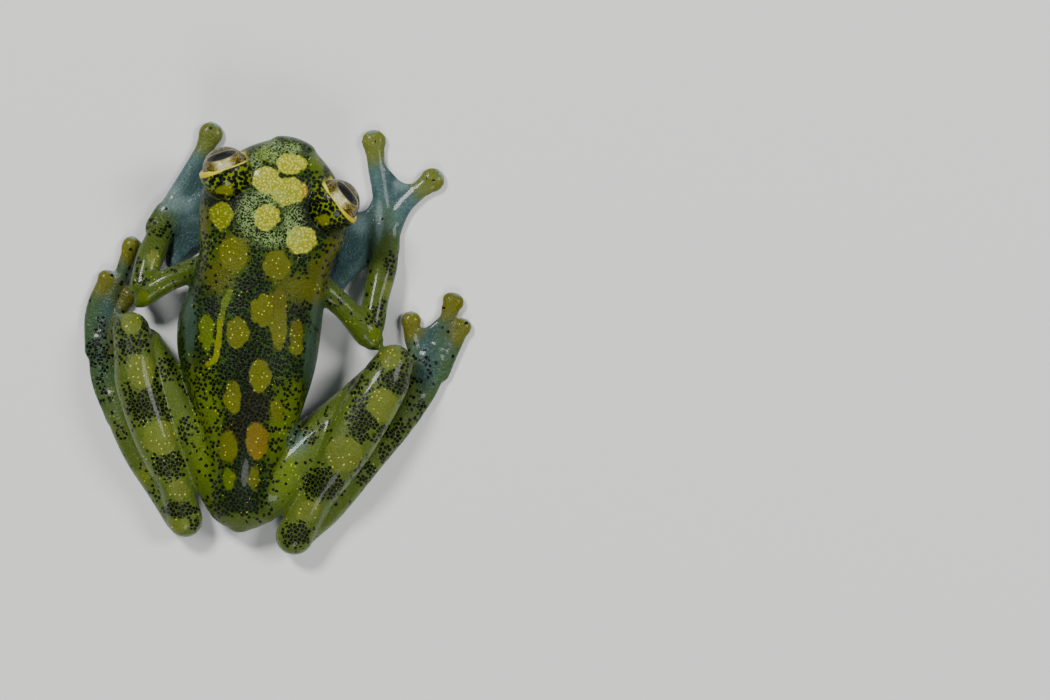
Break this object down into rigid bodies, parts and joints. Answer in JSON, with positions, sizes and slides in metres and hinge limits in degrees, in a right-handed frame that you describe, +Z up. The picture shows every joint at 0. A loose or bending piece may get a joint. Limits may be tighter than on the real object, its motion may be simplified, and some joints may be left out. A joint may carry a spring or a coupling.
{
  "type": "glass frog",
  "caption": "Small reticulated tree frog lying flat, head a little turned, arms bent forward with spread webbed fingers, hind legs folded beside the body.",
  "frame": {"origin": "centre of the footprint on the floor, under the middle of the trunk", "axes": "+Z up from the floor, +Y towards the snout, +X to the frog's own right"},
  "size_m": [0.0233, 0.0259, 0.0063],
  "materials": {
    "back_skin": "moist green skin with yellow spots and fine black dots",
    "limb_skin": "moist thin green skin with yellow bands and fine black dots",
    "web_skin": "glassy blue-green skin with yellow finger and toe tips",
    "eye": "wet, gold iris with a black level pupil"
  },
  "bodies": {
    "root": {"head": "back_skin", "torso": "back_skin", "eye_left": "eye", "eye_right": "eye", "upper_arm_left": "limb_skin", "upper_arm_right": "limb_skin", "forearm_left": "limb_skin", "forearm_right": "limb_skin", "hand_left": "web_skin", "hand_right": "web_skin", "thigh_left": "limb_skin", "thigh_right": "limb_skin", "shank_left": "limb_skin", "shank_right": "limb_skin", "tarsus_left": "limb_skin", "tarsus_right": "limb_skin", "foot_left": "web_skin", "foot_right": "web_skin"}
  },
  "joints": []
}
